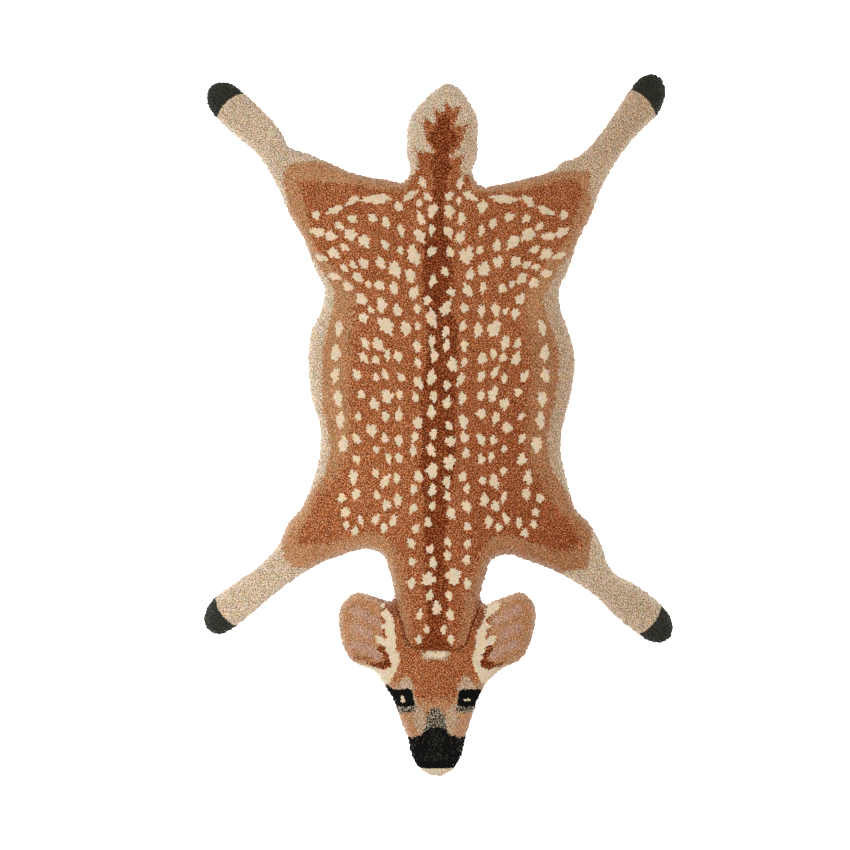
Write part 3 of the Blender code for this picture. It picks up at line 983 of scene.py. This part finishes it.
def planting_tree():
    """Geometry Nodes that plant a tuft on each point of a mesh."""
    tree = new_group("planting", "GeometryNodeTree", PLANTING_INPUTS, (("Geometry", "Geometry"),))
    tree.is_modifier = True
    add = partial(add_node, tree)
    given = add("NodeGroupInput").outputs

    def named(name):
        node = add("GeometryNodeInputNamedAttribute", {"Name": name}, data_type="FLOAT_VECTOR")
        return node.outputs["Attribute"]

    def chance(low, high, offset):
        seed = calculate(tree, "ADD", given["Seed"], offset)
        return add("FunctionNodeRandomValue", {2: low, 3: high, "Seed": seed}, data_type="FLOAT").outputs[1]

    def spread(name, offset):
        low, high = (calculate(tree, way, 1.0, given[name]) for way in ("SUBTRACT", "ADD"))
        return chance(low, high, offset)

    stand = add("FunctionNodeAlignRotationToVector", {"Vector": named(AXIS)}, axis="Z")
    spin = add("ShaderNodeCombineXYZ", {"Z": chance(0.0, 2 * math.pi, 1.0)})
    turn = add("FunctionNodeRotateRotation", rotation_space="LOCAL")
    feed(tree, turn, {"Rotation": stand.outputs["Rotation"], "Rotate By": spin.outputs["Vector"]})
    size = add("ShaderNodeCombineXYZ", {
        "X": spread("Width spread", 2.0), "Y": spread("Width spread", 3.0),
        "Z": spread("Depth spread", 4.0),
    })
    shape = add("GeometryNodeObjectInfo", {"Object": given["Tuft"]})
    plant = add("GeometryNodeInstanceOnPoints", {
        "Points": given["Geometry"], "Instance": shape.outputs["Geometry"],
        "Rotation": turn.outputs["Rotation"], "Scale": size.outputs["Vector"],
    })
    real = add("GeometryNodeRealizeInstances", {"Geometry": plant.outputs["Instances"]})

    both = add("ShaderNodeVectorMath", {0: named(CELL), 1: named(PATCH)})
    cell_side = calculate(tree, "DIVIDE", 1.0, given["Cells across"])
    share = add("ShaderNodeVectorMath", {0: both.outputs["Vector"], "Scale": cell_side}, operation="SCALE")
    lay = add("GeometryNodeStoreNamedAttribute", data_type="FLOAT2", domain="CORNER")
    feed(tree, lay, {
        "Geometry": real.outputs["Geometry"], "Name": BAKE_MAP, "Value": share.outputs["Vector"],
    })
    dress = add("GeometryNodeSetMaterial", {"Geometry": lay.outputs["Geometry"], "Material": given["Yarn"]})
    add("NodeGroupOutput", {"Geometry": dress.outputs["Geometry"]})
    return tree


PLANTING = planting_tree()


# %% [markdown]
# One mesh with all the tufts would be too heavy, so the pile is planted in five strips from left to
# right, as a gun works its way across the frame. The strips meet without a seam, because each tuft
# belongs to one of them only.

# %% Plant the pile in strips
STRIPS = ("pile_outer_left", "pile_left", "pile_middle", "pile_right", "pile_outer_right")
AXIS_WANDER = 0.07  # how far a tuft's axis strays, as a share of its length


def map_cells(places):
    """A cell for each tuft, neighbours on the rug being neighbours on the map, and the cells across."""
    across = math.ceil(math.sqrt(len(places)))
    cells = np.zeros((len(places), 3))
    order = np.argsort(places[:, 1], kind="stable")
    for row in range(math.ceil(len(places) / across)):
        here = order[row * across:(row + 1) * across]
        here = here[np.argsort(places[here, 0], kind="stable")]
        cells[here, 0] = np.arange(len(here))
        cells[here, 1] = row
    return cells, across


def set_layer(mesh, name, kind, values):
    """Puts values on the points of a mesh, as an attribute."""
    layer = mesh.attributes.new(name, "FLOAT_COLOR" if kind == "color" else "FLOAT_VECTOR", "POINT")
    layer.data.foreach_set(kind, np.asarray(values, np.float32).ravel())


def opaque(light):
    """Shades with a fourth channel, which is full."""
    return np.column_stack([light, np.ones(len(light))])


def plant_strip(name, members):
    """A plain mesh of the tufts with these numbers."""
    cells, across = map_cells(plan[members])
    places = bpy.data.meshes.new(name + "_places")
    places.from_pydata(tips[members].tolist(), [], [])
    stray = rng.normal(size=(len(members), 3)) * AXIS_WANDER
    set_layer(places, AXIS, "vector", axes[members] + stray)
    set_layer(places, CELL, "vector", cells)
    set_layer(places, SHADE, "color", opaque(shades[members]))

    planted = add_object(name + "_places", places)
    modifier = planted.modifiers.new("planting", "NODES")
    modifier.node_group = PLANTING
    given = {"Tuft": tuft, "Yarn": WOOL, "Cells across": float(across), "Seed": len(members)}
    for socket in PLANTING.interface.items_tree:
        if socket.name in given:
            modifier[socket.identifier] = given[socket.name]
    graph = bpy.context.evaluated_depsgraph_get()
    mesh = bpy.data.meshes.new_from_object(planted.evaluated_get(graph), depsgraph=graph)
    mesh.name = name
    planted.modifiers.remove(modifier)
    bpy.data.objects.remove(planted)
    for spare in (CELL, AXIS, PATCH):
        if spare in mesh.attributes:
            mesh.attributes.remove(mesh.attributes[spare])
    print(name, len(members), "tufts,", sum(len(p.vertices) - 2 for p in mesh.polygons), "triangles")
    return add_object(name, mesh)


cuts = np.quantile(plan[:, 0], np.linspace(0, 1, len(STRIPS) + 1)[1:-1])
strip_of = np.searchsorted(cuts, plan[:, 0])
pile = [plant_strip(name, np.flatnonzero(strip_of == i)) for i, name in enumerate(STRIPS)]
bpy.data.objects.remove(tuft)

# %% [markdown]
# ## The cloth and the bed of wool
#
# Under the tips the pile is dense, and under that lies the cotton cloth that carries it. Both are
# one closed sheet here: its top is the wool just below the tips, in the same shades darkened as a
# painted shadow of the tips, and its underside is the plain cotton backing. It is a net of triangles
# inside the outline, finer at the rounded edge than in the field, and it stays clear of the groove.

# %% Model the bed
BED_INSET = 2.2 * MM  # how far the bed stays behind the rim
BED_DROP = 1.5 * MM  # how far its top is below the tips
BED_BRIM = 3.0 * MM
BED_STEP = 5.0 * MM
BED_RINGS = (1.5 * MM, 4.0 * MM, 7.5 * MM)
RING_TRUE = 0.9  # points of a ring that lie nearer to the edge than this share of its inset are left out
CDT_INSIDE, CDT_MERGE = 1, 1e-7  # the net keeps to the inside of its outline


def inset_loop(loop, distance):
    """The loop, moved inwards."""
    along = np.roll(loop, -1, axis=0) - np.roll(loop, 1, axis=0)
    along /= np.linalg.norm(along, axis=1)[:, None]
    return loop - distance * np.column_stack([along[:, 1], -along[:, 0]])


def bed_height(places):
    """Height of the bed's top."""
    gap, _ = nearest_on(places, rim, closed=True)
    edge = nearness(gap - BED_INSET, SHOULDER - BED_INSET)
    rounded = BED_BRIM + (PILE_TOP - BED_DROP - BED_BRIM) * np.sqrt(1 - edge**2)
    gap, _ = nearest_on(places, GROOVE_LINE, closed=False)
    clear = (GROOVE_DEPTH + BED_DROP) * nearness(gap - BED_STEP, GROOVE_HALF_WIDTH)
    return np.maximum(rounded - clear, BED_BRIM)


def model_bed():
    """The closed sheet of cloth and wool."""
    edge = inset_loop(rim, BED_INSET)
    low, high = rim.min(0), rim.max(0)
    field, _ = staggered_grid(BED_STEP, low, high)
    gap, _ = nearest_on(field, edge, closed=True)
    field = field[inside(field, edge) & (gap > BED_RINGS[-1] + BED_STEP / 3)]
    inner = [field]
    for inset in BED_RINGS:
        ring = inset_loop(edge, inset)
        gap, _ = nearest_on(ring, edge, closed=True)
        inner.append(ring[inside(ring, edge) & (gap > RING_TRUE * inset)])
    inner = np.concatenate(inner)
    heights = bed_height(inner)
    count = len(edge)

    mesh = bmesh.new()
    under = [mesh.verts.new((x, y, 0.0)) for x, y in edge]
    brim = [mesh.verts.new((x, y, BED_BRIM)) for x, y in edge]
    top = brim + [mesh.verts.new((x, y, z)) for (x, y), z in zip(inner, heights)]
    for corners, upward in ((under, False), (top, True)):
        flat = [v.co.to_2d() for v in corners]
        found = delaunay_2d_cdt(flat, [], [list(range(count))], CDT_INSIDE, CDT_MERGE)
        for triangle in found[2]:
            face = [corners[found[3][i][0]] for i in triangle]
            made = mesh.faces.new(face if upward else face[::-1])
            made.material_index = 0 if upward else 1
            made.smooth = upward
    for i in range(count):
        j = (i + 1) % count
        wall = mesh.faces.new((under[i], under[j], brim[j], brim[i]))
        wall.material_index = 1
    data = bpy.data.meshes.new("pile_bed")
    mesh.to_mesh(data)
    mesh.free()
    return add_object("pile_bed", data)


bed = model_bed()
print("the bed:", len(bed.data.polygons), "faces")

# %% Shade the bed
# painted shade: the bed's wool is darkened to this share for the shadow of the tufts above it
BED_PAINTED_SHADE = 0.6  # wool seen down between the tufts, as a share of its light


def shade_bed():
    """Gives each point of the bed the shade of the wool above it, darkened as a painted shadow of the pile.
    """
    places = np.array([v.co[:2] for v in bed.data.vertices])
    below = fields_at(places)
    main = np.array([to_linear(YARNS[name][0]) for name in YARN_NAMES])[below]
    # the wool's shade, darkened by the painted shadow
    set_layer(bed.data, SHADE, "color", opaque(main * BED_PAINTED_SHADE))


shade_bed()

# %% [markdown]
# The backing is a plain cotton weave. Two waves at right angles, one for the warp and one for the
# weft, give its ribs, and the fibre group roughens them.

# %% Cotton backing
THREAD = 1.6 * MM
WAVE_LENGTH = 0.314  # of the wave texture at scale 1
SHADED_COTTON, LIT_COTTON = (0.42, 0.34, 0.24, 1.0), (0.66, 0.58, 0.45, 1.0)


def cotton():
    """Plain woven cotton, undyed."""
    material, fibres, bump = cloth_material(
        "cotton_backing", sheen=0.1, fibre_size=0.9 * MM, contrast=0.12,
        bump_strength=0.6, bump_depth=0.4 * MM,
    )
    tree = material.node_tree
    place = add_node(tree, "ShaderNodeTexCoord").outputs["Object"]
    ribs = []
    for direction in ("X", "Y"):
        wave = add_node(tree, "ShaderNodeTexWave", wave_type="BANDS", bands_direction=direction)
        feed(tree, wave, {"Vector": place, "Scale": WAVE_LENGTH / THREAD, "Distortion": 0.6, "Detail": 1.0})
        ribs.append(wave.outputs["Fac"])
    weave = calculate(tree, "MULTIPLY", *ribs)
    tint = add_node(tree, "ShaderNodeMix", data_type="RGBA")
    feed(tree, tint, {"Factor": weave, "A": SHADED_COTTON, "B": LIT_COTTON})
    feed(tree, fibres, {"Shade": tint.outputs["Result"]})
    feed(tree, bump, {"Height": calculate(tree, "ADD", weave, fibres.outputs["Height"])})
    return material


bed.data.materials.append(WOOL)
bed.data.materials.append(cotton())

# %% [markdown]
# ## Putting the pieces on the frame
#
# Every piece rides on the frame's one body and stands for its one solid. The cloth is a sheet that
# lies flat, cut to the rug's outline, and the pile goes with it.


def loop_area(loop):
    """Area inside a closed loop."""
    x, y = loop.T
    return abs((x * np.roll(y, -1) - np.roll(x, -1) * y).sum()) / 2


for piece in (bed, *pile):
    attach(piece, "root")
    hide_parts("fawn_rug")
cut_area = loop_area(inset_loop(rim, BED_INSET))
print("the cloth's area:", round(cut_area, 3), "square metres")
